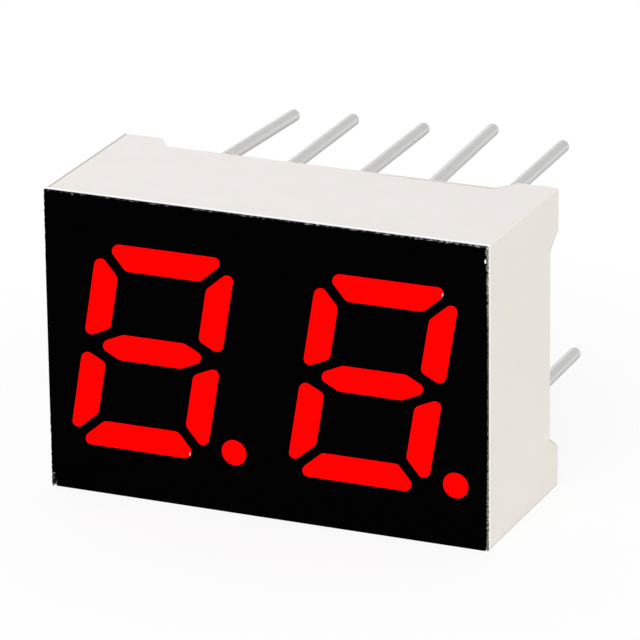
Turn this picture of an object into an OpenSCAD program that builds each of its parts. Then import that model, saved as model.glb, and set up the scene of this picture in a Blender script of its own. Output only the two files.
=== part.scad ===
// Two-digit seven segment LED display, 0.28 inch digits, ten leads on a 2.54 mm grid.
// It stands on one long side: +Z up, the lit face towards -Y, the leads towards +Y.
// The origin is under the middle of the whole part, on the surface that it stands on.

/* [Case] */
// Width of the case
case_w = 15; // [14.8:0.1:20]
// Height of the case
case_h = 10; // [9.9:0.1:14]
// Depth of the case from its lit face to the tips of its feet
body_d = 6; // [5.4:0.1:10]
// Thickness of the walls around the rear pocket
wall = 0.5; // [0.35:0.05:0.6]
// Radius of the four long edges
edge_r = 0.05; // [0.03:0.01:0.3]
// Bevel around the front face
front_bevel = 0.02; // [0.02:0.01:0.2]
// Thickness of the printed ink on the front face
ink_t = 0.03; // [0.02:0.01:0.08]

/* [Feet] */
// Height of the corner feet behind the rim
foot_h = 0.7; // [0.3:0.05:1.2]
// Width of a foot at its tip, along each wall
foot_w = 1.35; // [0.8:0.05:2]
// Extra width of a foot where it meets the rim
foot_flare = 0.5; // [0.1:0.05:0.8]

/* [Digits] */
// Height of a digit
digit_h = 6.86; // [6:0.02:7]
// Width of a digit before it leans
digit_w = 4.76; // [4.4:0.02:4.9]
// Distance from one digit to the next
digit_pitch = 7.5; // [7.3:0.05:7.6]
// How far the pair of digits sits to the right of the middle
digit_shift = -0.1; // [-0.15:0.05:0]
// How far the digits sit above the middle
digit_rise = 0.06; // [-0.06:0.02:0.06]
// Lean of the digits, in degrees
lean = 9.6; // [4:0.1:10]
// Width of a segment
seg_w = 0.86; // [0.7:0.02:1]
// Dark gap between the ends of two segments
seg_gap = 0.34; // [0.25:0.01:0.5]
// Radius of the corners of a segment
seg_r = 0.21; // [0.08:0.01:0.22]
// Slope of the segment ends at the middle bar, in degrees
mid_angle = 25; // [20:1:32]
// Diameter of the decimal point
dot_d = 0.84; // [0.8:0.02:0.9]
// Decimal point's centre from the digit's right edge
dot_out = 0.9; // [0.8:0.01:0.92]

/* [Light pipes] */
// Length of a light pipe's small end
pipe_l = 1.6; // [1.5:0.05:1.8]
// Width of a light pipe's small end
pipe_w = 0.6; // [0.5:0.02:0.66]
// Diameter of the decimal point's small end
dot_end_d = 0.8; // [0.78:0.01:0.8]

/* [Circuit board] */
// Thickness of the circuit board
board_t = 0.8; // [0.4:0.05:1]
// Gap between the board's edge and the pocket's wall
board_gap = 0.1; // [0.05:0.01:0.2]
// Height of the four corner seats that the board rests on
seat_h = 0.05; // [0.045:0.005:0.1]
// Side of a corner seat
seat_w = 0.6; // [0.5:0.05:0.8]
// Thickness of the copper
copper_t = 0.035; // [0.02:0.005:0.04]
// Width of a copper track
track_w = 0.2; // [0.12:0.02:0.22]
// Diameter of the copper around a via
via_pad_d = 0.4; // [0.3:0.02:0.4]
// Diameter of a via's drilled hole
via_d = 0.2; // [0.1:0.02:0.22]

/* [Resin] */
// Depth of resin behind the board
fill_t = 0.5; // [0.4:0.05:0.8]
// How far the resin stops below the rim
fill_drop = 0.1; // [0.05:0.05:0.3]

/* [Leads] */
// Diameter of a lead
pin_d = 0.42; // [0.4:0.01:0.5]
// Distance from one lead to the next in a row
pin_pitch = 2.54; // [2.54]
// Distance between the two rows of leads
row_pitch = 7.62; // [7.62]
// Length of a lead beyond the tips of the feet
pin_out = 7.5; // [2:0.1:12]
// Radius of the rounded edge at a lead's blunt tip
tip_r = 0.05; // [0.04:0.01:0.18]
// Side of the square shank that the board and the resin hold
shank_w = 0.36; // [0.3:0.01:0.38]
// Gap between a shank's corners and the wall of its hole
hole_gap = 0.13; // [0.12:0.01:0.18]
// Width of the ring of copper around a lead's hole
ring_w = 0.1; // [0.06:0.01:0.14]
// Height of the solder cone behind the board
solder_h = 0.28; // [0.15:0.01:0.35]

/* [Chips and wires] */
// Side of an LED chip
chip_w = 0.23; // [0.18:0.01:0.25]
// Height of an LED chip
chip_h = 0.18; // [0.12:0.01:0.2]
// Diameter of the silver adhesive under a chip
glue_d = 0.28; // [0.26:0.01:0.29]
// Thickness of the silver adhesive
glue_t = 0.02; // [0.01:0.005:0.03]
// Side of the copper pad under a chip
die_pad_w = 0.44; // [0.36:0.02:0.44]
// Side of the copper pad that a wire lands on
wire_pad_w = 0.36; // [0.28:0.02:0.36]
// Distance from a chip to its wire's pad
wire_span = 0.5; // [0.48:0.01:0.52]
// Diameter of a bond wire
wire_d = 0.03; // [0.02:0.005:0.04]
// Diameter of the ball that joins a wire to its chip
ball_d = 0.09; // [0.06:0.01:0.12]

/* [Hidden] */
$fn = 48;

// Depths are measured back from the lit face, which lies at front_y.
front_y = -(body_d + pin_out) / 2;
rim_y = body_d - foot_h;
fill_y = rim_y - fill_drop;
board_back_y = fill_y - fill_t;
board_y = board_back_y - board_t;
rib_y = board_y - seat_h;
copper_y = board_y - copper_t;
rear_copper_y = board_back_y + copper_t;
chip_base_y = copper_y - glue_t;
chip_top_y = chip_base_y - chip_h;

// The digits, drawn upright about their own centre before they lean.
half_w = digit_w / 2;
half_h = digit_h / 2;
mitre_shift = seg_gap / sqrt(2);
mid_shift = seg_gap / 2 / cos(mid_angle);
mid_inner = seg_w * tan(mid_angle) + mid_shift;
bar_tip = half_w - mid_shift / tan(mid_angle);
bar_top = bar_tip - seg_w / 2 / tan(mid_angle);
upright_x = half_w - seg_w / 2;
upright_z = (mid_inner + half_h - seg_w - mitre_shift) / 2;
row_z = half_h - seg_w / 2;

SEGMENTS = ["a", "b", "c", "d", "e", "f", "g", "dp"];
DIGITS = [1, 2];
LEADS = [1:10];
leads_in_row = 5;

// The decimal point's cavity is small, so its chip stands off centre, on smaller pads.
dot_wire_span = 0.37;
dot_chip_out = 0.13;
dot_pad_share = 0.68;

// How far each lead is bent to the right and upwards, in degrees, from lead 1 to lead 10.
LEAD_BENDS = [
    [0, 0], [0, 0], [0, 0], [0, 0], [1.2, 2.8],
    [-1.9, -0.4], [-1.4, 1.5], [-0.8, -0.3], [-0.7, -0.2], [2.1, -0.9]
];

// Height of the common track's cross bar above the middle of a digit.
cross_track_z = 0.5;

// The board's wiring: for each segment, the way from its chip to its wire's pad,
// the step from there to its via, and the column and row of the lead it ends at.
WIRING = [
    ["a", [-1, 0], [0, 0], 0, 1],
    ["b", [0, 1], [0.35, 0.5], 1, 1],
    ["c", [0, -1], [-0.7, 0.45], 0, -1],
    ["d", [1, 0], [0, 0], -1, -1],
    ["e", [0, -1], [0, 0], -2, -1],
    ["f", [0, 1], [0, 0], -2, 1],
    ["g", [1, 0], [0, 0], 1, -1],
    ["dp", [-1, 0], [0, 0.5], 2, -1]
];
// Column of the lead that each digit's common track ends at, in the upper row.
COMMON_COLUMNS = [-1, 2];

// Geometry of the face

function leaned(p) = [p[0] + p[1] * tan(lean), p[1]];
function unit(p) = p / norm(p);
function flip_x(points) = [for (i = [len(points) - 1:-1:0]) [-points[i][0], points[i][1]]];
function flip_z(points) = [for (i = [len(points) - 1:-1:0]) [points[i][0], -points[i][1]]];

// The points of the arc that rounds corner p between its neighbours.
function corner_arc(p, before, after, r) =
    let (
        to_before = unit(before - p),
        to_after = unit(after - p),
        half = acos(to_before * to_after) / 2,
        centre = p + unit(to_before + to_after) * r / sin(half),
        first = p + to_before * r / tan(half) - centre,
        start = atan2(first[1], first[0]),
        sweep = 180 - 2 * half,
        steps = max(2, ceil(sweep / 24))
    )
    [for (i = [0:steps]) let (turn = start + sweep * i / steps) centre + r * [cos(turn), sin(turn)]];

function rounded(points, r) =
    let (n = len(points))
    [for (i = [0:n - 1])
        each corner_arc(points[i], points[(i + n - 1) % n], points[(i + 1) % n], r)];

top_bar = [
    [-(half_w - seg_w - mitre_shift), half_h - seg_w],
    [half_w - seg_w - mitre_shift, half_h - seg_w],
    [half_w - mitre_shift, half_h],
    [-(half_w - mitre_shift), half_h]
];
middle_bar = [
    [-bar_tip, 0], [-bar_top, -seg_w / 2], [bar_top, -seg_w / 2],
    [bar_tip, 0], [bar_top, seg_w / 2], [-bar_top, seg_w / 2]
];
upper_right = [
    [half_w - seg_w, mid_inner],
    [half_w, mid_shift],
    [half_w, half_h - mitre_shift],
    [half_w - seg_w, half_h - seg_w - mitre_shift]
];

function corners(s) =
    s == "a" ? top_bar :
    s == "b" ? upper_right :
    s == "c" ? flip_z(upper_right) :
    s == "d" ? flip_z(top_bar) :
    s == "e" ? flip_x(flip_z(upper_right)) :
    s == "f" ? flip_x(upper_right) :
    middle_bar;

// Centre of a segment, before the lean.
function centre(s) =
    s == "a" ? [0, row_z] :
    s == "b" ? [upright_x, upright_z] :
    s == "c" ? [upright_x, -upright_z] :
    s == "d" ? [0, -row_z] :
    s == "e" ? [-upright_x, -upright_z] :
    s == "f" ? [-upright_x, upright_z] :
    s == "g" ? [0, 0] :
    [half_w + dot_out, -row_z];

function is_upright(s) = s == "b" || s == "c" || s == "e" || s == "f";
function run(s) =
    is_upright(s) ? half_h - mitre_shift - mid_shift :
    s == "g" ? 2 * bar_tip :
    2 * (half_w - mitre_shift);

// How much narrower and shorter a light pipe is at the board.
function squeeze(s) =
    is_upright(s) ? [pipe_w / seg_w, pipe_l / run(s)] : [pipe_l / run(s), pipe_w / seg_w];

function digit_centre(d) =
    [digit_shift + (d - 1.5) * digit_pitch, case_h / 2 + digit_rise];
function on_face(d, p) = digit_centre(d) + leaned(p);
function mouth(d, s) = [for (p = rounded(corners(s), seg_r)) on_face(d, p)];
function small_end(d, s) =
    [for (p = rounded(corners(s), seg_r))
        let (q = p - centre(s), k = squeeze(s))
        on_face(d, centre(s) + [q[0] * k[0], q[1] * k[1]])];

// Geometry of the board, in the plane of the face

function wiring(s) = WIRING[search([s], SEGMENTS)[0]];
function chip_at(d, s) = on_face(d, centre(s)) + (s == "dp" ? [dot_chip_out, 0] : [0, 0]);
function span(s) = s == "dp" ? dot_wire_span : wire_span;
function wire_way(s) =
    let (way = leaned(wiring(s)[1]))
    is_upright(s) ? way : wiring(s)[1];
function wire_end(d, s) = chip_at(d, s) + span(s) * wire_way(s);
function via_at(d, s) = wire_end(d, s) + wiring(s)[2];
function pin_at(column, row) = [column * pin_pitch, case_h / 2 + row * row_pitch / 2];
function segment_pin(s) = pin_at(wiring(s)[3], wiring(s)[4]);
function link_via(s) = [segment_pin(s)[0], via_at(1, s)[1]];
function pad_w(s, w) = s == "dp" ? w * dot_pad_share : w;

// Lead 1 is at the lower left, and the numbers run right and then back along the upper row.
middle_lead = (leads_in_row + 1) / 2;
function lead_at(i) =
    i <= leads_in_row ? pin_at(i - middle_lead, -1) : pin_at(leads_in_row + middle_lead - i, 1);

hole_r = shank_w / sqrt(2) + hole_gap;
ring_r = hole_r + ring_w;
pin_r = pin_d / 2;

// Building blocks

// Extrudes a shape drawn as seen from the front, between two depths behind the lit face.
module slab(from_y, to_y) {
    translate([0, front_y + to_y, 0])
        rotate([90, 0, 0])
            linear_extrude(to_y - from_y) children();
}

module rounded_box(w, h, r) {
    translate([0, h / 2]) {
        square([w - 2 * r, h], center = true);
        square([w, h - 2 * r], center = true);
        for (x = [-1, 1], y = [-1, 1])
            translate([x * (w / 2 - r), y * (h / 2 - r)]) circle(r);
    }
}

module plate(inset) {
    translate([0, case_h / 2]) square([case_w - 2 * inset, case_h - 2 * inset], center = true);
}

module strip(from, to) {
    reach = to - from;
    translate(from)
        rotate(atan2(reach[1], reach[0]))
            translate([-track_w / 2, -track_w / 2]) square([norm(reach) + track_w, track_w]);
}

module pad(at, w) {
    translate(at) square(w, center = true);
}

// The tapered body of a light pipe, from the lit face back to the copper.
module funnel(d, s) {
    if (s == "dp")
        translate([on_face(d, centre(s))[0], front_y + copper_y, on_face(d, centre(s))[1]])
            rotate([90, 0, 0]) cylinder(h = copper_y, d1 = dot_end_d, d2 = dot_d);
    else {
        front = mouth(d, s);
        back = small_end(d, s);
        n = len(front);
        polyhedron(
            points = [
                for (p = front) [p[0], front_y, p[1]],
                for (p = back) [p[0], front_y + copper_y, p[1]]
            ],
            faces = [
                [for (i = [n - 1:-1:0]) i],
                [for (i = [0:n - 1]) n + i],
                for (i = [0:n - 1]) [i, (i + 1) % n, n + (i + 1) % n],
                for (i = [0:n - 1]) [i, n + (i + 1) % n, n + i]
            ]
        );
    }
}

module chip(d, s) {
    slab(chip_top_y, chip_base_y) pad(chip_at(d, s), chip_w);
}

module glue_dot(d, s) {
    slab(chip_base_y, copper_y) translate(chip_at(d, s)) circle(d = glue_d);
}

// A bond wire: one arc that stands on its pad and comes down on top of the chip.
module bond_wire(d, s) {
    rise = copper_y - chip_top_y;
    reach = span(s);
    hub = (reach * reach - rise * rise) / (2 * reach);
    arc_r = reach - hub;
    way = wire_way(s);
    at = chip_at(d, s);
    translate([at[0], front_y + copper_y, at[1]])
        rotate([0, -atan2(way[1], way[0]), 0])
            translate([hub * norm(way), 0, 0])
                rotate([180, 0, 0])
                    rotate_extrude(angle = 180 - atan2(rise, hub))
                        translate([arc_r * norm(way), 0]) circle(d = wire_d, $fn = 16);
    slab(chip_top_y - wire_d / 2, chip_top_y) translate(at) circle(d = ball_d);
}

// Sub-parts

module reflector_case() {
    color([0.93, 0.92, 0.90])
    difference() {
        union() {
            slab(ink_t, rim_y) rounded_box(case_w, case_h, edge_r);
            corner_feet();
        }
        front_bevels();
        slab(rib_y, rim_y + 1) plate(wall);
        for (d = DIGITS, s = SEGMENTS) funnel(d, s);
    }
    board_seats();
}

// Four prisms that take the bevel off the front edges.
module front_bevels() {
    long = 2 * (case_w + case_h);
    side = front_bevel * sqrt(2);
    for (x = [-1, 1])
        translate([x * case_w / 2, front_y + ink_t, 0])
            rotate([0, 0, 45]) cube([side, side, long], center = true);
    for (z = [0, case_h])
        translate([0, front_y + ink_t, z])
            rotate([45, 0, 0]) cube([long, side, side], center = true);
}

// The four L-shaped feet carry on from the walls and flare towards the rim.
module corner_feet() {
    intersection() {
        slab(rim_y - wall, body_d) difference() {
            rounded_box(case_w, case_h, edge_r);
            plate(wall);
        }
        translate([0, 0, -1]) linear_extrude(case_h + 2) foot_profiles(case_w);
        translate([-case_w, 0, case_h / 2])
            rotate([0, 90, 0]) linear_extrude(2 * case_w) foot_profiles(case_h);
    }
}

// The pair of feet at the ends of one wall, drawn across it and back.
module foot_profiles(across) {
    for (side = [-1, 1])
        polygon([
            [side * (across / 2 + 1), front_y + rim_y - wall],
            [side * (across / 2 - foot_w - foot_flare), front_y + rim_y - wall],
            [side * (across / 2 - foot_w - foot_flare), front_y + rim_y],
            [side * (across / 2 - foot_w), front_y + body_d],
            [side * (across / 2 + 1), front_y + body_d]
        ]);
}

module board_seats() {
    inset = wall + seat_w / 2;
    for (x = [-1, 1], z = [-1, 1])
        slab(rib_y - wall, board_y)
            translate([x * (case_w / 2 - inset), case_h / 2 + z * (case_h / 2 - inset)])
                square(seat_w, center = true);
}

module face_mask() {
    color([0.03, 0.03, 0.03])
    slab(0, ink_t)
        difference() {
            translate([0, front_bevel])
                rounded_box(case_w - 2 * front_bevel, case_h - 2 * front_bevel, edge_r);
            for (d = DIGITS, s = SEGMENTS)
                if (s == "dp")
                    translate(on_face(d, centre(s))) circle(d = dot_d);
                else
                    polygon(mouth(d, s));
        }
}

module light_pipe(d, s) {
    color([1, 0.02, 0.01])
    difference() {
        funnel(d, s);
        chip(d, s);
        glue_dot(d, s);
        bond_wire(d, s);
    }
}

module led_chip(d, s) {
    color([0.75, 0.55, 0.2]) chip(d, s);
}

module circuit_board() {
    color([0.75, 0.7, 0.5])
    slab(board_y, board_back_y)
        difference() {
            plate(wall + board_gap);
            for (i = LEADS) translate(lead_at(i)) circle(hole_r);
            for (s = SEGMENTS) {
                translate(link_via(s)) circle(d = via_d);
                for (d = DIGITS) translate(via_at(d, s)) circle(d = via_d);
            }
        }
}

module front_copper() {
    color([0.8, 0.45, 0.25])
    slab(copper_y, board_y)
        difference() {
            union() {
                for (d = DIGITS) common_track(d);
                for (s = SEGMENTS) {
                    for (d = DIGITS) {
                        pad(wire_end(d, s), pad_w(s, wire_pad_w));
                        strip(wire_end(d, s), via_at(d, s));
                        translate(via_at(d, s)) circle(d = via_pad_d);
                    }
                    strip(link_via(s), segment_pin(s));
                    translate(link_via(s)) circle(d = via_pad_d);
                }
                for (i = LEADS) translate(lead_at(i)) circle(ring_r);
            }
            for (i = LEADS) translate(lead_at(i)) circle(hole_r);
        }
}

// One digit's common track: it joins the pads under the digit's chips and ends at a lead.
module common_track(d) {
    for (s = SEGMENTS) pad(chip_at(d, s), pad_w(s, die_pad_w));
    strip(chip_at(d, "f"), chip_at(d, "e"));
    strip(chip_at(d, "a"), chip_at(d, "d"));
    strip(chip_at(d, "b"), chip_at(d, "c"));
    strip(on_face(d, [-upright_x, cross_track_z]), on_face(d, [upright_x, cross_track_z]));
    turn = [chip_at(d, "dp")[0], chip_at(d, "c")[1]];
    strip(chip_at(d, "c"), turn);
    strip(turn, chip_at(d, "dp"));
    strip(chip_at(d, "a"), pin_at(COMMON_COLUMNS[d - 1], 1));
}

module rear_copper() {
    color([0.8, 0.45, 0.25]) {
        slab(board_back_y, rear_copper_y)
            difference() {
                union() {
                    for (s = SEGMENTS) {
                        ends = [via_at(1, s)[0], via_at(2, s)[0], link_via(s)[0]];
                        strip([min(ends), link_via(s)[1]], [max(ends), link_via(s)[1]]);
                        translate(link_via(s)) circle(d = via_pad_d);
                        for (d = DIGITS) translate(via_at(d, s)) circle(d = via_pad_d);
                    }
                    for (i = LEADS) translate(lead_at(i)) circle(ring_r);
                }
                for (i = LEADS) translate(lead_at(i)) circle(hole_r);
            }
        for (s = SEGMENTS) {
            slab(board_y, board_back_y) translate(link_via(s)) circle(d = via_d);
            for (d = DIGITS) slab(board_y, board_back_y) translate(via_at(d, s)) circle(d = via_d);
        }
    }
}

module solder_joints() {
    color([0.75, 0.75, 0.77])
    for (i = LEADS)
        difference() {
            union() {
                slab(copper_y, rear_copper_y) translate(lead_at(i)) circle(hole_r);
                solder_cone(i);
            }
            shank(i);
        }
}

module die_attach() {
    color([0.7, 0.7, 0.7])
    for (d = DIGITS, s = SEGMENTS) glue_dot(d, s);
}

module bond_wires(d) {
    color([1, 0.8, 0.3])
    for (s = SEGMENTS) bond_wire(d, s);
}

module rear_resin_fill() {
    color([0.85, 0.85, 0.8])
    difference() {
        union() {
            slab(rear_copper_y, fill_y) plate(wall);
            slab(board_y, rear_copper_y) difference() {
                plate(wall);
                plate(wall + board_gap);
            }
        }
        for (i = LEADS) {
            shank(i);
            solder_cone(i);
        }
    }
}

module shank(i) {
    slab(copper_y, fill_y) pad(lead_at(i), shank_w);
}

module solder_cone(i) {
    translate([lead_at(i)[0], front_y + rear_copper_y, lead_at(i)[1]])
        rotate([-90, 0, 0]) cylinder(h = solder_h, r1 = ring_r, r2 = hole_r);
}

// A lead: a square shank inside, then a round wire that may be bent where it leaves the resin.
module pin(i) {
    color([0.76, 0.76, 0.75]) {
        shank(i);
        difference() {
            wire(i);
            slab(0, fill_y) plate(wall);
        }
    }
}

// The round wire, which starts a little below the resin's surface.
module wire(i) {
    wire_l = body_d + pin_out - fill_y - tip_r;
    bend = LEAD_BENDS[i - 1];
    translate([lead_at(i)[0], front_y + fill_y, lead_at(i)[1]])
        rotate([bend[1], 0, -bend[0]])
            rotate([-90, 0, 0]) {
                translate([0, 0, -pin_r]) cylinder(h = pin_r + wire_l, r = pin_r);
                translate([0, 0, wire_l]) blunt_tip();
            }
}

module blunt_tip() {
    rotate_extrude()
        intersection() {
            square([pin_r, tip_r]);
            union() {
                square([pin_r - tip_r, tip_r]);
                translate([pin_r - tip_r, 0]) circle(tip_r);
            }
        }
}

reflector_case();
face_mask();
circuit_board();
front_copper();
rear_copper();
solder_joints();
die_attach();
bond_wires(1);  // bond_wires_digit_1
bond_wires(2);  // bond_wires_digit_2
rear_resin_fill();
light_pipe(1, "a");  // light_pipe_1a
light_pipe(1, "b");  // light_pipe_1b
light_pipe(1, "c");  // light_pipe_1c
light_pipe(1, "d");  // light_pipe_1d
light_pipe(1, "e");  // light_pipe_1e
light_pipe(1, "f");  // light_pipe_1f
light_pipe(1, "g");  // light_pipe_1g
light_pipe(1, "dp");  // light_pipe_1dp
light_pipe(2, "a");  // light_pipe_2a
light_pipe(2, "b");  // light_pipe_2b
light_pipe(2, "c");  // light_pipe_2c
light_pipe(2, "d");  // light_pipe_2d
light_pipe(2, "e");  // light_pipe_2e
light_pipe(2, "f");  // light_pipe_2f
light_pipe(2, "g");  // light_pipe_2g
light_pipe(2, "dp");  // light_pipe_2dp
led_chip(1, "a");  // led_chip_1a
led_chip(1, "b");  // led_chip_1b
led_chip(1, "c");  // led_chip_1c
led_chip(1, "d");  // led_chip_1d
led_chip(1, "e");  // led_chip_1e
led_chip(1, "f");  // led_chip_1f
led_chip(1, "g");  // led_chip_1g
led_chip(1, "dp");  // led_chip_1dp
led_chip(2, "a");  // led_chip_2a
led_chip(2, "b");  // led_chip_2b
led_chip(2, "c");  // led_chip_2c
led_chip(2, "d");  // led_chip_2d
led_chip(2, "e");  // led_chip_2e
led_chip(2, "f");  // led_chip_2f
led_chip(2, "g");  // led_chip_2g
led_chip(2, "dp");  // led_chip_2dp
pin(1);  // pin_1
pin(2);  // pin_2
pin(3);  // pin_3
pin(4);  // pin_4
pin(5);  // pin_5
pin(6);  // pin_6
pin(7);  // pin_7
pin(8);  // pin_8
pin(9);  // pin_9
pin(10);  // pin_10
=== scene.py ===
"""Finishes, rear resin and stage for a two-digit seven segment LED display."""

import math

import bmesh
import bpy
from bpy.props import FloatProperty, FloatVectorProperty, PointerProperty
from mathutils import Matrix, Vector, geometry, noise


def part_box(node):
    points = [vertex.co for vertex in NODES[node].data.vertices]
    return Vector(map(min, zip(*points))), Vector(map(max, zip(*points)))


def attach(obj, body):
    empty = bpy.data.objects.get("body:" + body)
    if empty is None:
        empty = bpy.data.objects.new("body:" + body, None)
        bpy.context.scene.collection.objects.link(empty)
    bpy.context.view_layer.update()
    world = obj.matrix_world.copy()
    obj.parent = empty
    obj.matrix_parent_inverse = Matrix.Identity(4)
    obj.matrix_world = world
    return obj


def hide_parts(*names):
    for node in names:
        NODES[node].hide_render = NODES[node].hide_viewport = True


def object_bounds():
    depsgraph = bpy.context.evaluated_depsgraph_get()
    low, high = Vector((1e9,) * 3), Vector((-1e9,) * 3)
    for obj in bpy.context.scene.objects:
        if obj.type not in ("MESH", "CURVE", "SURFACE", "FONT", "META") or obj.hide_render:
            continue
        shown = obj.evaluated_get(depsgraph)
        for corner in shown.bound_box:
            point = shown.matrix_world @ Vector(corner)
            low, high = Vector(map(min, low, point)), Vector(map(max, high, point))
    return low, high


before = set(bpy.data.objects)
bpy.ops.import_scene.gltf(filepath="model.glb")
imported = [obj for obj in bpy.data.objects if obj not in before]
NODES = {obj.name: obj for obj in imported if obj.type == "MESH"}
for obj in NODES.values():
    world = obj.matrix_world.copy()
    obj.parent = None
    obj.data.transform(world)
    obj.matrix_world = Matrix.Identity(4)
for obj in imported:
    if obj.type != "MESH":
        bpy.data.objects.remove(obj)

bl_info = {
    "name": "Seven segment display",
    "version": (1, 0, 0),
    "blender": (4, 5, 0),
    "location": "View3D > Sidebar > Display",
    "description": "Finishes a two-digit LED display and sets up a stage for it",
    "category": "Object",
}

MM = 0.001
CAD_LOW, CAD_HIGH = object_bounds()
LEADS = sorted((n for n in NODES if n.startswith("pin_")), key=lambda n: int(n.removeprefix("pin_")))
LIGHT_PIPES = sorted(n for n in NODES if n.startswith("light_pipe_"))
CHIPS = sorted(n for n in NODES if n.startswith("led_chip_"))
BOND_WIRES = sorted(n for n in NODES if n.startswith("bond_wires_"))


def linear(red, green, blue):
    """Scene-linear colour of three numbers from 0 to 255 as a screen shows them."""
    def channel(value):
        share = value / 255
        return share / 12.92 if share <= 0.04045 else ((share + 0.055) / 1.055) ** 2.4
    return channel(red), channel(green), channel(blue)


def box_mm(node):
    """A CAD node's lowest and highest corners, in millimetres."""
    low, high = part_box(node)
    return low / MM, high / MM


# Shader maths


class Wire:
    """An output socket of a finish, for use in Python expressions."""

    def __init__(self, finish, socket):
        self.finish = finish
        self.socket = socket

    @property
    def is_vector(self):
        return self.socket.type == "VECTOR"

    def join(self, operation, *operands):
        """Adds the Math or Vector Math node that works out an operation."""
        vectors = [isinstance(o, tuple) or getattr(o, "is_vector", False) for o in operands]
        kind = "VectorMath" if any(vectors) else "Math"
        output = "Value" if operation == "DOT_PRODUCT" else 0
        return self.finish.add(kind, {"operation": operation}, dict(enumerate(operands)), output)

    def __add__(self, other):
        return self.join("ADD", self, other)

    def __radd__(self, other):
        return self.join("ADD", other, self)

    def __sub__(self, other):
        return self.join("SUBTRACT", self, other)

    def __rsub__(self, other):
        return self.join("SUBTRACT", other, self)

    def __mul__(self, other):
        if self.is_vector and not isinstance(other, tuple):
            return self.finish.add("VectorMath", {"operation": "SCALE"}, {0: self, "Scale": other})
        return self.join("MULTIPLY", self, other)

    __rmul__ = __mul__

    def __lt__(self, other):
        return self.join("LESS_THAN", self, other)

    def __abs__(self):
        return self.join("ABSOLUTE", self)

    def sine(self):
        return self.join("SINE", self)

    def along(self, way):
        """How far a vector goes in a direction."""
        return self.join("DOT_PRODUCT", self, way)


class Finish:
    """A material or a world that is built node by node. Its places are in millimetres."""

    def __init__(self, owner):
        self.owner = owner
        owner.use_nodes = True
        self.tree = owner.node_tree
        self.tree.nodes.clear()

    @classmethod
    def material(cls, name):
        """A new material, with the place on the surface as a wire."""
        finish = cls(bpy.data.materials.new(name))
        finish.place = finish.add("TexCoord", output="Object") * (1 / MM)
        return finish

    def add(self, kind, settings=None, sockets=None, output=0):
        """Adds a node: its settings first, then the values or wires of its sockets."""
        node = self.tree.nodes.new("ShaderNode" + kind)
        for name, value in (settings or {}).items():
            setattr(node, name, value)
        for name, value in (sockets or {}).items():
            if isinstance(value, Wire):
                self.tree.links.new(value.socket, node.inputs[name])
            else:
                node.inputs[name].default_value = value
        return Wire(self, node.outputs[output]) if len(node.outputs) else None

    def axis(self, name, vector=None):
        """One coordinate of a place, in millimetres, or of another vector."""
        return self.add("SeparateXYZ", {}, {0: vector or self.place}, name)

    def cloud(self, size, detail=2.0, roughness=0.5, stretch=(1, 1, 1), seed=0.0):
        """Noise from 0 to 1 whose blobs are about that size across."""
        place = (self.place + (seed, seed, seed)) * stretch
        values = {"Vector": place, "Scale": 1 / size, "Detail": detail, "Roughness": roughness}
        return self.add("TexNoise", {}, values)

    def specks(self, spacing, size, seed=0.0):
        """1 inside scattered round specks and 0 around them."""
        place = self.place + (seed, seed, seed)
        away = self.add("TexVoronoi", {}, {"Vector": place, "Scale": 1 / spacing})
        return self.fall(away, size / spacing / 2, size / spacing)

    def rise(self, value, low, high):
        """Rises smoothly from 0 to 1 as a value goes from low to high."""
        settings = {"interpolation_type": "SMOOTHSTEP"}
        return self.add("MapRange", settings, {"Value": value, "From Min": low, "From Max": high})

    def fall(self, value, low, high):
        """Falls smoothly from 1 to 0 as a value goes from low to high."""
        settings = {"interpolation_type": "SMOOTHSTEP"}
        values = {"Value": value, "From Min": low, "From Max": high, "To Min": 1.0, "To Max": 0.0}
        return self.add("MapRange", settings, values)

    def marks(self, *ellipses):
        """Soft ellipses. Each gives the distances across and up from its middle, its half width,
        its half height and its strength."""
        shares = []
        for across, up, half_w, half_h, strength in ellipses:
            x = across * (1 / half_w)
            y = up * (1 / half_h)
            shares.append(self.fall(x * x + y * y, 0.5, 1.0) * strength)
        return self.most(*shares)

    def most(self, first, *others):
        """The highest of some values."""
        highest = first
        for other in others:
            highest = highest.join("MAXIMUM", highest, other)
        return highest

    def mix(self, share, one, other):
        """Mixes two colours."""
        sides = [c if isinstance(c, Wire) else (*c, 1.0) for c in (one, other)]
        return self.add("Mix", {"data_type": "RGBA"}, {0: share, 6: sides[0], 7: sides[1]}, 2)

    def tint(self, colour, amount, share):
        """A colour made lighter or darker by up to an amount, as a share goes from 0 to 1."""
        darker = tuple(c * (1 - amount) for c in colour)
        lighter = tuple(min(1.0, c * (1 + amount)) for c in colour)
        return self.mix(share, darker, lighter)

    def bump(self, height, depth_mm):
        """A normal from a height of 0 to 1 that stands for that many millimetres."""
        return self.add("Bump", {}, {"Height": height, "Distance": depth_mm * MM})

    def end(self, shader, kind="OutputMaterial"):
        """Joins the last shader to the output."""
        self.add(kind, {}, {"Surface": shader})
        return self.owner

    def shader(self, **values):
        """A Principled shader. Underscores in the names stand for spaces."""
        sockets = {}
        for name, value in values.items():
            if isinstance(value, tuple):
                value = (*value, 1.0)
            sockets[name.replace("_", " ")] = value
        return self.add("BsdfPrincipled", {}, sockets)

    def surface(self, **values):
        """Ends the material in a Principled shader."""
        return self.end(self.shader(**values))


def dress(material, names):
    """Gives CAD nodes a material."""
    for name in names:
        for slot in NODES[name].material_slots:
            slot.material = material


# Settings


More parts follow.
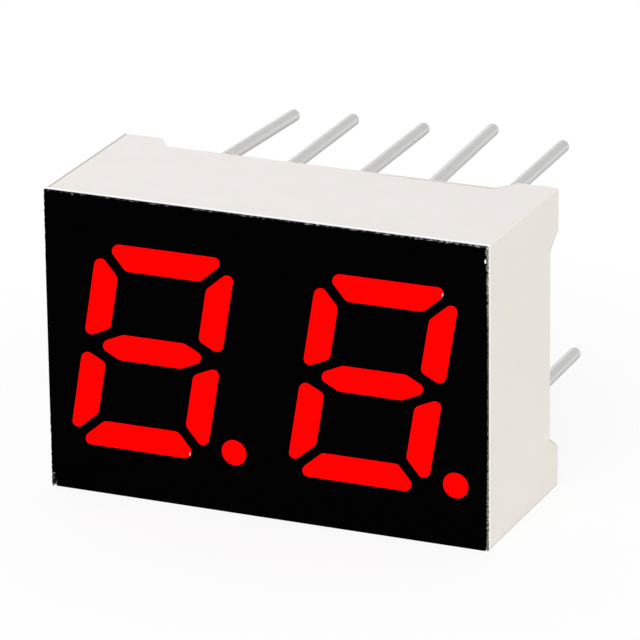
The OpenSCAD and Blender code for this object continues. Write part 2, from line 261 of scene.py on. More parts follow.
class CaseSettings(bpy.types.PropertyGroup):
    """Colours and grain of the moulded case"""

    colour: FloatVectorProperty(
        name="Plastic", description="Colour of the white moulded plastic",
        default=(0.856, 0.798, 0.784), subtype="COLOR", min=0, max=1)
    cool: FloatVectorProperty(
        name="Greener patches", description="Colour of the slightly greener patches",
        default=(0.845, 0.808, 0.765), subtype="COLOR", min=0, max=1)
    # Painted reflection: the sides are tinted yellower to stand in for warm light reflected onto them.
    side_reflection_tint: FloatVectorProperty(
        name="Yellowed sides", description="Colour of the slightly yellower sides",
        default=(0.853, 0.812, 0.757), subtype="COLOR", min=0, max=1)
    # Painted highlights: the front edges get lighter colours than the plastic, as if lit.
    top_edge_highlight: FloatVectorProperty(
        name="Top edge", description="Colour of the polished front edge at the top",
        default=(0.94, 0.955, 0.965), subtype="COLOR", min=0, max=1)
    side_edge_highlight: FloatVectorProperty(
        name="Side edge", description="Colour of the front edges at the sides",
        default=(0.975, 0.95, 0.89), subtype="COLOR", min=0, max=1)
    grain: FloatProperty(
        name="Grain", description="Size of the mould's fine grain",
        default=0.05 * MM, unit="LENGTH", min=0.01 * MM)


class InkSettings(bpy.types.PropertyGroup):
    """The printed ink and its worn edges"""

    colour: FloatVectorProperty(
        name="Ink", description="Colour of the printed face",
        default=(0.0004, 0.0004, 0.0004), subtype="COLOR", min=0, max=1)
    bare: FloatVectorProperty(
        name="Bare edge", description="Colour where the ink is missing",
        default=linear(240, 240, 238), subtype="COLOR", min=0, max=1)
    worn: FloatVectorProperty(
        name="Worn ink", description="Colour where the ink is thin",
        default=linear(140, 138, 136), subtype="COLOR", min=0, max=1)
    ragged: FloatProperty(
        name="Ragged edge", description="How far the nibbled edge of the ink reaches in",
        default=0.07 * MM, unit="LENGTH", min=0)
    chip: FloatProperty(
        name="Chipped corner", description="How far the ink is chipped at the lower left",
        default=0.32 * MM, unit="LENGTH", min=0)


class GlowSettings(bpy.types.PropertyGroup):
    """The lit segments"""

    colour: FloatVectorProperty(
        name="Light", description="Colour of a lit segment",
        default=(1.0, 0.0, 0.0), subtype="COLOR", min=0, max=1)
    resin: FloatVectorProperty(
        name="Resin", description="Colour of the resin in the segments",
        default=(0.35, 0.0, 0.0), subtype="COLOR", min=0, max=1)


class LeadSettings(bpy.types.PropertyGroup):
    """Colours of the tinned leads"""

    colour: FloatVectorProperty(
        name="Tin", description="Colour of the tinned leads",
        default=linear(200, 199.5, 198.5), subtype="COLOR", min=0, max=1)
    # Painted shade: the leads' undersides are coloured darker, as if in shade.
    underside_shade: FloatVectorProperty(
        name="Dull underside", description="Colour of the leads' duller undersides",
        default=linear(174, 173, 172), subtype="COLOR", min=0, max=1)
    # Painted highlight: a lighter band along the leads' right side, where light would shine on them.
    bright: FloatVectorProperty(
        name="Bright streak", description="Colour of the streak along the leads' right side",
        default=linear(221, 220.5, 219), subtype="COLOR", min=0, max=1)
    # Painted reflection: the tin beside the resin is tinted beige, standing in for the cream case reflected
    # in it.
    case_cream_reflection: FloatVectorProperty(
        name="Stain", description="Colour of the tin beside the resin",
        default=linear(190, 186, 179), subtype="COLOR", min=0, max=1)


class ResinSettings(bpy.types.PropertyGroup):
    """The casting resin and how far it climbs and sags"""

    colour: FloatVectorProperty(
        name="Resin", description="Colour of the milky casting resin",
        default=(0.7, 0.68, 0.6), subtype="COLOR", min=0, max=1)
    wall_climb: FloatProperty(
        name="Climb at the walls", description="How far the resin wets up the walls",
        default=0.07 * MM, unit="LENGTH", min=0, max=0.09 * MM)
    lead_climb: FloatProperty(
        name="Climb at the leads", description="How far the resin wets up the leads",
        default=0.14 * MM, unit="LENGTH", min=0)
    sag: FloatProperty(
        name="Sag", description="How far the resin shrinks down in the middle",
        default=0.06 * MM, unit="LENGTH", min=0)


class StageSettings(bpy.types.PropertyGroup):
    """The camera, the floor and the soft light"""

    azimuth: FloatProperty(
        name="Azimuth", description="Turn of the camera to the display's right",
        default=math.radians(23.48), subtype="ANGLE")
    elevation: FloatProperty(
        name="Elevation", description="Height of the camera above the horizon",
        default=math.radians(20.13), subtype="ANGLE")
    roll: FloatProperty(
        name="Roll", description="Tilt of the camera about its own axis",
        default=math.radians(-0.67), subtype="ANGLE")
    distance: FloatProperty(
        name="Distance", description="From the camera to the middle of the display",
        default=178.0 * MM, unit="LENGTH", min=0.05)
    lens: FloatProperty(
        name="Lens", description="Focal length in millimetres",
        default=311, unit="CAMERA", min=50)
    floor: FloatProperty(
        name="Floor", description="Width of the floor", default=3.0, unit="LENGTH", min=0.5)
    sky: FloatProperty(
        name="Sky", description="Strength of the soft light from all around",
        default=0.42, subtype="FACTOR", min=0, max=1)


SETTINGS = {
    "display_case": CaseSettings,
    "display_ink": InkSettings,
    "display_glow": GlowSettings,
    "display_leads": LeadSettings,
    "display_resin": ResinSettings,
    "display_stage": StageSettings,
}


# Materials of the outside


# From the case's side to where a foot's slope leaves the rim, and the slope's width, in millimetres
FOOT_ROOT = 1.85
FOOT_SLOPE = 0.5
# Up to where a painted highlight (top, side) or painted shade (left, lowest) along an edge is plain, and
# where it has faded out, in millimetres from the edge
TOP_HIGHLIGHT = (0.19, 0.27)
SIDE_HIGHLIGHT = (0.13, 0.2)
LEFT_SHADE = (0.09, 0.14)
LOWEST_SHADE = (0.05, 0.1)
# Up to where ink covers the front bevel and where it has ended, and how much further in that is at the top
BEVEL_INK = (0.03, 0.055)
BEVEL_INK_TOP = 0.02
# The ink on the face and on the bevel
INK_ROUGHNESS = 0.7
INK_GLOSS = 0.004


def case_plastic(settings):
    """White moulded plastic: fine grain, painted highlights along the front edges, painted shade along the
    rear, top-left and lowest edges, sides tinted as a painted warm reflection, and ink on its front bevel.
    """
    finish = Finish.material("case_plastic")
    low, high = box_mm("reflector_case")
    front = finish.axis("Y") - low.y
    at_top = on_face(finish, "Z", high.z)
    at_right = on_face(finish, "X", high.x)
    patches = finish.rise(finish.cloud(0.9, detail=5.0, roughness=0.6), 0.44, 0.6)
    colour = plastic_colour(finish, settings, front, patches)
    colour = edge_highlights(finish, settings, colour, front, at_top)
    colour = edge_shade_lines(finish, colour, front, at_top, at_right)
    flow = finish.cloud(0.5, detail=3.0, stretch=(1, 1, 0.4), seed=4.0)
    grain = finish.cloud(settings.grain / MM, detail=1.0)
    plastic = finish.shader(
        Base_Color=colour,
        Roughness=0.44 + patches * 0.08,
        Specular_IOR_Level=0.25,
        Normal=finish.bump(grain + flow, 0.0012),
    )
    ink = finish.shader(
        Base_Color=tuple(bpy.context.scene.display_ink.colour),
        Roughness=INK_ROUGHNESS,
        Specular_IOR_Level=INK_GLOSS,
    )
    scraped = finish.most(at_right * ink_jags(finish) * 0.8, at_top * ink_bites(finish) * 0.9)
    inked = finish.fall(front - at_top * BEVEL_INK_TOP, *BEVEL_INK) * (1 - scraped)
    return finish.end(finish.add("MixShader", {}, {0: inked, 1: plastic, 2: ink}))


def on_face(finish, axis, face):
    """1 on an outer face of the case, and 0 from 0.05 mm further in."""
    return finish.rise(finish.axis(axis), face - 0.05, face - 0.02)


def plastic_colour(finish, settings, front, patches):
    """The top with its greener patches, and the sides tinted yellower as a painted warm reflection, with
    spots of random tone.
    """
    beside_edge = (0.83, 0.803, 0.755)
    spot_colour = (0.85, 0.82, 0.73)
    top = finish.mix(patches, tuple(settings.colour), tuple(settings.cool))
    top = finish.mix(finish.fall(front, 0.3, 1.1) * 0.7, top, beside_edge)
    spots = finish.rise(finish.cloud(0.7, detail=4.0, roughness=0.6, seed=12.0), 0.5, 0.68)
    side = finish.mix(spots, tuple(settings.side_reflection_tint), spot_colour)
    side_x = box_mm("reflector_case")[1].x
    return finish.mix(finish.rise(abs(finish.axis("X")), side_x - 0.4, side_x - 0.1), top, side)


def edge_highlights(finish, settings, colour, front, at_top):
    """Adds painted highlights along the front edges: lighter colours where they would catch the light."""
    side_highlight_share = finish.fall(front, *SIDE_HIGHLIGHT) * (1 - at_top)
    top_highlight_share = finish.fall(front, *TOP_HIGHLIGHT) * at_top
    colour = finish.mix(side_highlight_share, colour, tuple(settings.side_edge_highlight))
    return finish.mix(top_highlight_share, colour, tuple(settings.top_edge_highlight))


def edge_shade_lines(finish, colour, front, at_top, at_right):
    """Adds painted shade along edges: darker colours at the rear towards the right, at the top left, and
    lowest on the right.
    """
    rear_shade_colour = (0.6, 0.62, 0.55)
    left_shade_colour = (0.46, 0.46, 0.42)
    lowest_shade_colour = (0.6, 0.61, 0.6)
    low, high = box_mm("reflector_case")
    resin_back = box_mm("rear_resin_fill")[1].y
    x, z = finish.axis("X"), finish.axis("Z")
    up = abs(z - (low.z + high.z) / 2)
    foot = finish.most(at_right * foot_share(finish, up, (high.z - low.z) / 2),
                       at_top * foot_share(finish, abs(x), high.x))
    slopes = finish.rise(foot, 0.0, 0.1) * finish.rise(x, 0.0, 2.5)
    rear_shaded = finish.most(slopes, at_top * finish.rise(x, 0.5, 3)) * finish.fall(foot, 0.9, 1.0)
    depth = finish.axis("Y") - foot * (high.y - resin_back)
    rear_shade_line = finish.rise(depth, resin_back - 0.09, resin_back - 0.04) * rear_shaded
    left_shade_line = at_top * finish.fall(x - low.x, *LEFT_SHADE) * finish.rise(front, 0.2, 0.3)
    lowest_shade_line = at_right * finish.fall(z - low.z, *LOWEST_SHADE)
    # Painted shade: darker colours along the rear edge, the top left edge and the lowest edge on the right.
    colour = finish.mix(rear_shade_line * 0.7, colour, rear_shade_colour)
    colour = finish.mix(left_shade_line, colour, left_shade_colour)
    return finish.mix(lowest_shade_line * 0.7, colour, lowest_shade_colour)


def foot_share(finish, away, half):
    """0 between the feet, rising along a foot's slope to 1 on its tip, by how far away the middle is."""
    return finish.add("Clamp", {}, {"Value": (away - (half - FOOT_ROOT)) * (1 / FOOT_SLOPE)})


def ink_bites(finish):
    """Where the ink is nibbled along the top: more to the right."""
    low, high = box_mm("face_mask")
    bites = finish.rise(finish.cloud(0.14, detail=5.0, roughness=0.8), 0.5, 0.72)
    return bites * (finish.rise(finish.axis("X"), low.x + 1, high.x - 1) * 0.8 + 0.2)


def ink_jags(finish):
    """Where the ink is scraped along the sides: more towards the corners."""
    low, high = box_mm("face_mask")
    height = finish.axis("Z")
    lower = finish.fall(height, low.z + 0.8, low.z + 4)
    upper = finish.rise(height, high.z - 3, high.z - 1)
    jags = finish.rise(finish.cloud(0.11, detail=4.0, roughness=0.8, seed=2.0), 0.42, 0.62)
    return jags * (finish.most(lower, upper) * 0.8 + 0.1)


def worn_in(finish, inward, reach):
    """1 at an edge of the ink, fading out over how far the wear reaches in."""
    return finish.fall(inward, reach * 0.2 - 0.002, reach)


def face_ink(settings):
    """Flat black ink: nibbled along the top, scraped at the sides, chipped at the lower left corner."""
    finish = Finish.material("face_ink")
    low, high = box_mm("face_mask")
    x, z = finish.axis("X"), finish.axis("Z")
    left, right, bottom, top = x - low.x, high.x - x, z - low.z, high.z - z
    ragged = settings.ragged / MM
    jags = ink_jags(finish)
    top_wear = worn_in(finish, top, ink_bites(finish) * ragged)
    side_wear = worn_in(finish, right, jags * ragged)
    rubbed = finish.marks(
        (right - 0.03, top - 0.16, 0.045, 0.12, 0.8),
        (right - 0.01, bottom - 0.09, 0.05, 0.07, 0.8),
    )
    nicks = finish.marks(
        (left - 1.0, top, 0.03, 0.07, 0.5),
        (left - 0.07, bottom - 0.43, 0.07, 0.03, 0.5),
    )
    flecks = finish.marks(
        (right - 0.065, top - 0.45, 0.035, 0.08, 0.9),
        (left - 0.13, bottom - 0.01, 0.04, 0.05, 1.0),
        (right, top, 0.04, 0.04, 1.0),
        (right, bottom, 0.09, 0.05, 1.0),
    )
    chip = settings.chip / MM
    scratches = finish.cloud(0.09, detail=4.0, roughness=0.8, stretch=(1, 1, 0.5), seed=5.0)
    scuffed = finish.fall(left + bottom * 0.5, chip * 0.3, chip) * finish.rise(scratches, 0.52, 0.58)

    worn = finish.most(top_wear, finish.most(side_wear, rubbed) * 0.7, nicks, scuffed * 0.7)
    bare = finish.most(flecks, left < jags * 0.02)
    colour = finish.mix(worn, tuple(settings.colour), tuple(settings.worn))
    return finish.surface(
        Base_Color=finish.mix(bare, colour, tuple(settings.bare)),
        Roughness=INK_ROUGHNESS - bare * 0.15,
        Specular_IOR_Level=INK_GLOSS,
        Normal=finish.bump(finish.cloud(0.06, detail=2.0), 0.0008),
    )


def lit_resin(settings):
    """Diffusing red resin with the chip's light behind it, and a real nick on two segments whose pale look
    is painted as a grey glow.
    """
    finish = Finish.material("lit_resin")
    nick_glow_colour = (0.5, 0.5, 0.48)
    haze = finish.cloud(0.5, detail=3.0)
    x, z = finish.axis("X"), finish.axis("Z")
    upper_low, upper_high = box_mm("light_pipe_2a")
    lower_low, lower_high = box_mm("light_pipe_1d")
    upper_middle = (upper_low.z + upper_high.z) / 2
    nicks = finish.marks(
        (upper_high.x - 0.01 - x, z - upper_middle - 0.2, 0.05, 0.075, 1.0),
        (lower_high.x - 0.05 - x, z - lower_low.z - 0.16, 0.025, 0.07, 1.0),
    )
    return finish.surface(
        Base_Color=finish.tint(tuple(settings.resin), 0.1, haze),
        Roughness=0.5 + haze * 0.1,
        Specular_IOR_Level=0.01,
        # Painted light: the nicks glow grey instead of red, standing in for the light they catch.
        Emission_Color=finish.mix(nicks, finish.tint(tuple(settings.colour), 0.02, haze), nick_glow_colour),
        Emission_Strength=1.0,
        Normal=finish.bump(haze, 0.001),
    )


def tinned_lead(settings):
    """Dip-tinned wire: a cloudy tin skin and drawn streaks, with a painted highlight band and painted
    glints along the right side, painted shade on the underside, and a painted reflection of the cream case
    beside the resin.
    """
    finish = Finish.material("tinned_lead")
    glint_colour = linear(250, 250, 249)
    highlight_way = math.radians(12)
    resin_back = box_mm("rear_resin_fill")[1].y
    drawn = finish.cloud(0.08, detail=3.0, stretch=(1, 0.15, 1))
    skin = finish.cloud(0.16, detail=5.0, roughness=0.7, stretch=(1, 0.6, 1), seed=7.0)
    normal = finish.add("NewGeometry", output="Normal")
    toward = normal.along((math.cos(highlight_way), 0, math.sin(highlight_way)))
    highlight_band = finish.rise(toward, 0.93, 0.985)
    # Painted shade on the downward-facing sides of the leads.
    shaded_underside = finish.fall(finish.axis("Z", normal), -0.5, -0.3)
    # Where the painted reflection of the cream case lies, near the resin.
    beside_resin = finish.fall(finish.axis("Y") - resin_back, 0.1, 1.3)
    # Painted glints: near-white specks, only where the leads face the light on the right.
    glint = finish.specks(0.4, 0.035) * finish.rise(toward, 0.7, 0.9)
    colour = finish.tint(tuple(settings.colour), 0.03, finish.rise(skin, 0.3, 0.7))
    # Painted highlight band along the right side.
    colour = finish.mix(highlight_band * 0.8, colour, tuple(settings.bright))
    colour = finish.mix(shaded_underside * 0.7, colour, tuple(settings.underside_shade))
    colour = finish.mix(beside_resin * 0.7, colour, tuple(settings.case_cream_reflection))
    return finish.surface(
        Base_Color=finish.mix(glint, colour, glint_colour),
        Metallic=0.8 - glint * 0.6,
        Roughness=0.34 + drawn * 0.14,
        Specular_Tint=(0.7, 0.7, 0.7),
        Normal=finish.bump(drawn + skin, 0.0012),
    )


# Materials of the back and the inside


def rear_resin(settings):
    """Milky casting resin, a little uneven in colour, with small bubbles."""
    finish = Finish.material("rear_resin")
    cloudy = finish.cloud(1.8, detail=4.0, roughness=0.6)
    fine = finish.cloud(0.1, detail=2.0, seed=3.0)
    bubble = finish.specks(1.5, 0.1, seed=1.0)
    bubble_colour = (0.45, 0.43, 0.36)
    colour = finish.tint(tuple(settings.colour), 0.06, cloudy)
    return finish.surface(
        Base_Color=finish.mix(bubble * 0.3, colour, bubble_colour),
        Roughness=0.2 + cloudy * 0.1,
        Normal=finish.bump(fine * 0.06 - bubble, 0.02),
    )


def board_laminate():
    """Glass laminate with its weave."""
    finish = Finish.material("board_laminate")
    laminate_colour = (0.42, 0.44, 0.2)
    radians_per_mm = 18
    warp = finish.axis("X") * radians_per_mm
    weft = finish.axis("Z") * radians_per_mm
    cloth = warp.sine() * weft.sine() * 0.5 + 0.5
    return finish.surface(
        Base_Color=finish.tint(laminate_colour, 0.12, cloth),
        Roughness=0.45 + cloth * 0.1,
        Normal=finish.bump(cloth, 0.003),
    )


def metal(name, colour, roughness, grain, spread=0.08):
    """A metal with a finely uneven surface, whose grain is in millimetres."""
    finish = Finish.material(name)
    skin = finish.cloud(grain, detail=3.0)
    return finish.surface(
        Base_Color=finish.tint(colour, spread, skin),
        Metallic=1.0,
        Roughness=roughness + skin * 0.15,
        Normal=finish.bump(skin, 0.002),
    )


def led_crystal():
    """Amber crystal with a darker top layer."""
    finish = Finish.material("led_crystal")
    amber = (0.5, 0.32, 0.12)
    layer = finish.rise(finish.cloud(0.08, detail=2.0), 0.3, 0.7)
    return finish.surface(
        Base_Color=finish.tint(amber, 0.2, layer),
        Roughness=0.15 + layer * 0.1,
    )


# The casting resin behind the board


class ResinPool:
    """The resin in millimetres: its surface climbs the walls and the leads, and sags between them."""

    # How far in from a wall or out from a lead each ring of points lies
    RINGS = (0.05, 0.12, 0.22, 0.36)
    # Points in a ring around a lead, and the spacing of the points along the walls and between the rings
    SIDES = 24
    WALL_STEP = 0.25
    GRID_STEP = 0.3
    # Over what distance the climb dies away
    WALL_FADE = 0.2
    LEAD_FADE = 0.13
    # Height of the ripples, and how many there are in a millimetre
    RIPPLE = 0.015
    RIPPLE_RATE = 0.6
    # How far down the leads the sleeve of resin starts to narrow to the solder cone
    SLEEVE = 0.02
    # A triangle fills a hole if its middle lies within this share of the hole's radius
    HOLE_SHARE = 0.98
    # How near two depths are alike, how near a lead its own solder lies, and how near two points are one
    ALIKE = 0.01
    BESIDE = 1
    SAME = 1e-6
    # How near two vertices of the finished mesh are one, in metres
    WELD = 1e-8

    def __init__(self, settings):
        self.settings = settings
        self.low, self.high = box_mm("rear_resin_fill")
        self.level = self.high.y
        self.back = box_mm("rear_copper")[1].y
        self.gap = box_mm("circuit_board")[0].x - self.low.x
        self.leads = [self.root(name) for name in LEADS]
        low, high = box_mm(LEADS[0])
        self.lead_r = (high.x - low.x) / 2
        self.cone_top = box_mm("solder_joints")[1].y
        self.cone_r = self.widest(self.back)
        self.cone_top_r = self.widest(self.cone_top)

    def root(self, name):
        """The middle of a lead's shank, across the pocket."""
        shank = [v.co / MM for v in NODES[name].data.vertices if v.co.y / MM < self.level - self.ALIKE]
        xs = [p.x for p in shank]
        zs = [p.z for p in shank]
        return Vector(((min(xs) + max(xs)) / 2, (min(zs) + max(zs)) / 2))

    def widest(self, depth):
        """Radius of a solder cone at a depth."""
        near = []
        for vertex in NODES["solder_joints"].data.vertices:
            point = vertex.co / MM
            away = (Vector((point.x, point.z)) - self.leads[0]).length
            if away < self.BESIDE and abs(point.y - depth) < self.ALIKE:
                near.append(away)
        return max(near)

    def to_wall(self, p):
        """Distance from a place across the pocket to its nearest wall."""
        return min(p.x - self.low.x, self.high.x - p.x, p.y - self.low.z, self.high.z - p.y)

    def to_lead(self, p):
        """Distance from a place across the pocket to the nearest lead."""
        return min((p - lead).length for lead in self.leads) - self.lead_r

    def height(self, p):
        """The surface's Y at a place across the pocket."""
        s = self.settings
        half_w = (self.high.x - self.low.x) / 2
        half_h = (self.high.z - self.low.z) / 2
        across = (p.x - self.low.x) / half_w - 1
        up = (p.y - self.low.z) / half_h - 1
        sag = s.sag / MM * (1 - across ** 2) * (1 - up ** 2)
        climb = s.wall_climb / MM * math.exp(-self.to_wall(p) / self.WALL_FADE)
        wet = s.lead_climb / MM * math.exp(-max(self.to_lead(p), 0) / self.LEAD_FADE)
        ripple = self.RIPPLE * noise.noise(Vector((p.x * self.RIPPLE_RATE, p.y * self.RIPPLE_RATE, 0)))
        return self.level - sag + climb + wet + ripple * min(1, self.to_wall(p))

    def wall_ring(self, inset):
        """Points around the pocket, a little way in from its walls."""
        corners = [
            Vector((self.low.x + inset, self.low.z + inset)),
            Vector((self.high.x - inset, self.low.z + inset)),
            Vector((self.high.x - inset, self.high.z - inset)),
            Vector((self.low.x + inset, self.high.z - inset)),
        ]
        ring = []
        for start, end in zip(corners, corners[1:] + corners[:1]):
            count = round((end - start).length / self.WALL_STEP)
            ring += [start.lerp(end, i / count) for i in range(count)]
        return ring

    def lead_ring(self, lead, radius):
        """Points around a lead."""
        turns = [2 * math.pi * i / self.SIDES for i in range(self.SIDES)]
        return [lead + radius * Vector((math.cos(t), math.sin(t))) for t in turns]

    def loose_points(self):
        """Points of the surface between the walls and the leads."""
        points = []
        for inset in self.RINGS:
            points += self.wall_ring(inset)
            for lead in self.leads:
                points += self.lead_ring(lead, self.lead_r + inset)
        margin = self.RINGS[-1] + self.GRID_STEP / 2
        columns = int((self.high.x - self.low.x) / self.GRID_STEP)
        rows = int((self.high.z - self.low.z) / self.GRID_STEP)
        for row in range(rows):
            for column in range(columns):
                p = Vector((
                    self.low.x + (column + 0.5 + row % 2 / 2) * self.GRID_STEP,
                    self.low.z + (row + 0.5) * self.GRID_STEP,
                ))
                if self.to_wall(p) > margin and self.to_lead(p) > margin:
                    points.append(p)
        return points

    def sheet(self, shape, rim, holes, loose, depth_at):
        """Fills a rim with triangles around its holes, and returns the vertices of each loop."""
        points, loops = [], []
        for loop in [rim, *holes]:
            loops.append(range(len(points), len(points) + len(loop)))
            points += loop
        edges = [(loop[i - 1], loop[i]) for loop in loops for i in range(len(loop))]
        points += loose
        whole_hull = 0
        flat, _, faces, origins, _, _ = geometry.delaunay_2d_cdt(points, edges, [], whole_hull, self.SAME)
        at = {}
        for new, olds in enumerate(origins):
            at.update({old: new for old in olds})
        vertices = [shape.verts.new((p.x * MM, depth_at(p) * MM, p.y * MM)) for p in flat]
        for face in faces:
            if not self.in_a_hole(self.middle([flat[i] for i in face]), holes):
                shape.faces.new([vertices[i] for i in face])
        used = [[vertices[at[i]] for i in loop] for loop in loops]
        for vertex in [v for v in vertices if not v.link_faces]:
            shape.verts.remove(vertex)
        return used

    def middle(self, places):
        return sum(places, Vector((0, 0))) / len(places)

    def in_a_hole(self, place, holes):
        """Whether a place lies inside one of some round loops."""
        for hole in holes:
            centre = self.middle(hole)
            if (place - centre).length <= (hole[0] - centre).length * self.HOLE_SHARE:
                return True
        return False

    def wall(self, shape, loop, steps):
        """Walls from a loop through further loops, each a list of places and their Y. Returns the last."""
        for step in steps:
            fresh = [shape.verts.new((p.x * MM, y * MM, p.y * MM)) for p, y in step]
            self.bridge(shape, loop, fresh)
            loop = fresh
        return loop

    def bridge(self, shape, loop, fresh):
        """Joins two loops with faces."""
        for i in range(len(loop)):
            shape.faces.new((loop[i - 1], loop[i], fresh[i], fresh[i - 1]))

    def build(self):
        """The resin as one closed shape."""
        shape = bmesh.new()
        rim = self.wall_ring(0)
        holes = [self.lead_ring(lead, self.lead_r) for lead in self.leads]
        top = self.sheet(shape, rim, holes, self.loose_points(), self.height)
        board_front = box_mm("circuit_board")[0].y
        inner = [
            Vector((
                min(max(p.x, self.low.x + self.gap), self.high.x - self.gap),
                min(max(p.y, self.low.z + self.gap), self.high.z - self.gap),
            ))
            for p in rim
        ]
        skirt = self.wall(shape, top[0], [
            [(p, board_front) for p in rim],
            [(p, board_front) for p in inner],
        ])
        wide = [self.lead_ring(lead, self.cone_r) for lead in self.leads]
        bottom = self.sheet(shape, inner, wide, [], lambda p: self.back)
        self.bridge(shape, skirt, bottom[0])
        for lead, upper, lower in zip(self.leads, top[1:], bottom[1:]):
            sleeve = self.wall(shape, upper, [
                [(p, self.level - self.SLEEVE) for p in self.lead_ring(lead, self.lead_r)],
                [(p, self.cone_top) for p in self.lead_ring(lead, self.cone_top_r)],
            ])
            self.bridge(shape, sleeve, lower)
        bmesh.ops.remove_doubles(shape, verts=shape.verts, dist=self.WELD)
        bmesh.ops.dissolve_degenerate(shape, edges=shape.edges, dist=self.WELD)
        bmesh.ops.recalc_face_normals(shape, faces=shape.faces)
        return shape


# The stage


# How far away the lamps are and how wide, in metres
LAMP_AWAY = 0.6
LAMP_WIDTH = 0.45
# Each lamp's name, its direction from the display, its power in watts and its colour
LAMPS = (
    ("key", (0.1, -0.75, 0.6), 2.45, (1, 1, 1)),
    ("side", (0.9, -0.2, 0.35), 0.93, (1, 1, 0.975)),
    ("rear", (-0.6, 0.6, 0.5), 0.6, (1, 1, 1)),
)


def view_axes(settings):
    """The camera's right, up and back directions."""
    level = math.cos(settings.elevation)
    back = Vector((
        math.sin(settings.azimuth) * level,
        -math.cos(settings.azimuth) * level,
        math.sin(settings.elevation),
    ))
    right = Vector((0, 0, 1)).cross(back).normalized()
    return right, back.cross(right), back


def seen_middle(right, up):
    """The middle of the case and the leads as the camera sees them."""
    corners = []
    for name in ["reflector_case", *LEADS]:
        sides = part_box(name)
        corners += [Vector((sides[i].x, sides[j].y, sides[k].z))
                    for i in (0, 1) for j in (0, 1) for k in (0, 1)]
    middle = (CAD_LOW + CAD_HIGH) / 2
    for way in (right, up):
        reach = [(corner - middle).dot(way) for corner in corners]
        middle = middle + way * (min(reach) + max(reach)) / 2
    return middle


def add_lamp(name, way, watts, colour):
    """A square soft lamp that faces the display and isn't seen itself."""
    data = bpy.data.lights.new(name, "AREA")
    data.size = LAMP_WIDTH
    data.energy = watts
    data.color = colour
    lamp = bpy.data.objects.new(name, data)
    toward = Vector(way).normalized()
    lamp.location = (CAD_LOW + CAD_HIGH) / 2 + toward * LAMP_AWAY
    lamp.rotation_mode = "QUATERNION"
    lamp.rotation_quaternion = toward.to_track_quat("Z", "Y")
    lamp.visible_camera = False
    bpy.context.scene.collection.objects.link(lamp)


def seen_directly(finish):
    """1 for what the camera sees, also in a mirror or through glass."""
    camera = finish.add("LightPath", output="Is Camera Ray")
    glossy = finish.add("LightPath", output="Is Glossy Ray")
    clear = finish.add("LightPath", output="Is Transmission Ray")
    return finish.most(camera, glossy, clear)


def pale_floor():
    """White floor that keeps the shadow near the display and fades to plain white."""
    finish = Finish.material("pale_floor")
    floor_colour = (0.9, 0.9, 0.9, 1)
    white_share = 0.85
    fade_from, fade_to = 6.0, 24.0
    lit = finish.add("BsdfDiffuse", {}, {"Color": floor_colour})
    white = finish.add("Emission", {}, {"Color": (1, 1, 1, 1), "Strength": 1.0})
    reach = finish.add("VectorMath", {"operation": "LENGTH"}, {0: finish.place}, "Value")
    faded = finish.rise(reach, fade_from, fade_to) * (1 - white_share) + white_share
    share = seen_directly(finish) * faded
    return finish.end(finish.add("MixShader", {}, {0: share, 1: lit, 2: white}))


# Operators


class DISPLAY_OT_case(bpy.types.Operator):
    """Give the case its white plastic"""
    bl_idname = "display.case"
    bl_label = "Case"

    def execute(self, context):
        dress(case_plastic(context.scene.display_case), ["reflector_case"])
        return {"FINISHED"}


class DISPLAY_OT_face(bpy.types.Operator):
    """Give the face its black ink"""
    bl_idname = "display.face"
    bl_label = "Face"

    def execute(self, context):
        dress(face_ink(context.scene.display_ink), ["face_mask"])
        return {"FINISHED"}


class DISPLAY_OT_segments(bpy.types.Operator):
    """Light the segments and the decimal points"""
    bl_idname = "display.segments"
    bl_label = "Segments"

    def execute(self, context):
        dress(lit_resin(context.scene.display_glow), LIGHT_PIPES)
        return {"FINISHED"}


class DISPLAY_OT_leads(bpy.types.Operator):
    """Tin the leads"""
    bl_idname = "display.leads"
    bl_label = "Leads"

    def execute(self, context):
        dress(tinned_lead(context.scene.display_leads), LEADS)
        return {"FINISHED"}


class DISPLAY_OT_resin(bpy.types.Operator):
    """Cast the resin behind the board"""
    bl_idname = "display.resin"
    bl_label = "Rear resin"

    def execute(self, context):
        settings = context.scene.display_resin
        mesh = bpy.data.meshes.new("cast_resin")
        shape = ResinPool(settings).build()
        for face in shape.faces:
            face.smooth = True
        shape.to_mesh(mesh)
        shape.free()
        sharp_from = math.radians(40)
        mesh.set_sharp_from_angle(angle=sharp_from)
        resin = bpy.data.objects.new("cast_resin", mesh)
        resin.data.materials.append(rear_resin(settings))
        context.scene.collection.objects.link(resin)
        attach(resin, "root")
        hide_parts("rear_resin_fill")
        return {"FINISHED"}


class DISPLAY_OT_board(bpy.types.Operator):
    """Finish the circuit board, its copper and its solder"""
    bl_idname = "display.board"
    bl_label = "Circuit board"

    def execute(self, context):
        dress(board_laminate(), ["circuit_board"])
        copper = metal("copper_foil", (0.72, 0.38, 0.22), roughness=0.3, grain=0.2)
        dress(copper, ["front_copper", "rear_copper"])
        dress(metal("solder", (0.66, 0.66, 0.68), roughness=0.2, grain=0.15), ["solder_joints"])
        return {"FINISHED"}


class DISPLAY_OT_chips(bpy.types.Operator):
    """Finish the chips, their adhesive and their bond wires"""
    bl_idname = "display.chips"
    bl_label = "Chips"

    def execute(self, context):
        dress(led_crystal(), CHIPS)
        adhesive = metal("silver_adhesive", (0.6, 0.6, 0.6), roughness=0.5, grain=0.05, spread=0.15)
        dress(adhesive, ["die_attach"])
        dress(metal("gold_wire", (0.9, 0.65, 0.2), roughness=0.12, grain=0.05), BOND_WIRES)
        return {"FINISHED"}


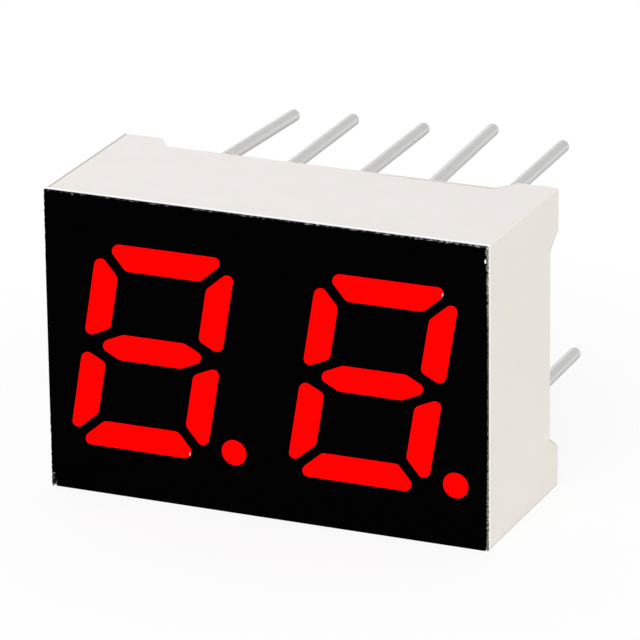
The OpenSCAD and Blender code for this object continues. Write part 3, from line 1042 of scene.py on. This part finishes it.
class DISPLAY_OT_stage(bpy.types.Operator):
    """Set up the floor, the lamps, the background and the camera"""
    bl_idname = "display.stage"
    bl_label = "Stage"

    def execute(self, context):
        settings = context.scene.display_stage
        self.add_floor(context, settings)
        for lamp in LAMPS:
            add_lamp(*lamp)
        self.add_camera(context, settings)
        self.set_world(context, settings)
        context.scene.view_settings.view_transform = "Standard"
        return {"FINISHED"}

    def add_floor(self, context, settings):
        mesh = bpy.data.meshes.new("floor")
        shape = bmesh.new()
        bmesh.ops.create_grid(shape, x_segments=1, y_segments=1, size=settings.floor / 2)
        shape.to_mesh(mesh)
        shape.free()
        floor = bpy.data.objects.new("floor", mesh)
        floor.location.z = CAD_LOW.z
        floor.data.materials.append(pale_floor())
        context.scene.collection.objects.link(floor)

    def add_camera(self, context, settings):
        right, up, back = view_axes(settings)
        facing = Matrix((right, up, back)).transposed()
        turn = Matrix.Rotation(settings.roll, 3, "Z")
        place = seen_middle(right, up) + back * settings.distance
        data = bpy.data.cameras.new("camera")
        data.lens = settings.lens
        data.clip_start = 0.01
        camera = bpy.data.objects.new("camera", data)
        camera.matrix_world = Matrix.Translation(place) @ (facing @ turn).to_4x4()
        context.scene.collection.objects.link(camera)
        context.scene.camera = camera

    def set_world(self, context, settings):
        world = bpy.data.worlds.new("studio")
        context.scene.world = world
        finish = Finish(world)
        strength = seen_directly(finish) * (1 - settings.sky) + settings.sky
        sky = finish.add("Background", {}, {"Color": (1, 1, 1, 1), "Strength": strength})
        finish.end(sky, "OutputWorld")


OPERATORS = (
    DISPLAY_OT_case,
    DISPLAY_OT_face,
    DISPLAY_OT_segments,
    DISPLAY_OT_leads,
    DISPLAY_OT_resin,
    DISPLAY_OT_board,
    DISPLAY_OT_chips,
    DISPLAY_OT_stage,
)


class DISPLAY_PT_panel(bpy.types.Panel):
    """The display's settings and operators"""
    bl_idname = "DISPLAY_PT_panel"
    bl_label = "Seven segment display"
    bl_space_type = "VIEW_3D"
    bl_region_type = "UI"
    bl_category = "Display"

    def draw(self, context):
        for name, group in SETTINGS.items():
            box = self.layout.box()
            for setting in group.__annotations__:
                box.prop(getattr(context.scene, name), setting)
        for operator in OPERATORS:
            self.layout.operator(operator.bl_idname)


CLASSES = (*SETTINGS.values(), *OPERATORS, DISPLAY_PT_panel)


def register():
    for each in CLASSES:
        bpy.utils.register_class(each)
    for name, group in SETTINGS.items():
        setattr(bpy.types.Scene, name, PointerProperty(type=group))


def unregister():
    for name in SETTINGS:
        delattr(bpy.types.Scene, name)
    for each in reversed(CLASSES):
        bpy.utils.unregister_class(each)


def main():
    register()
    bpy.ops.display.case()
    bpy.ops.display.face()
    bpy.ops.display.segments()
    bpy.ops.display.leads()
    bpy.ops.display.resin()
    bpy.ops.display.board()
    bpy.ops.display.chips()
    bpy.ops.display.stage()


if __name__ == "__main__":
    main()
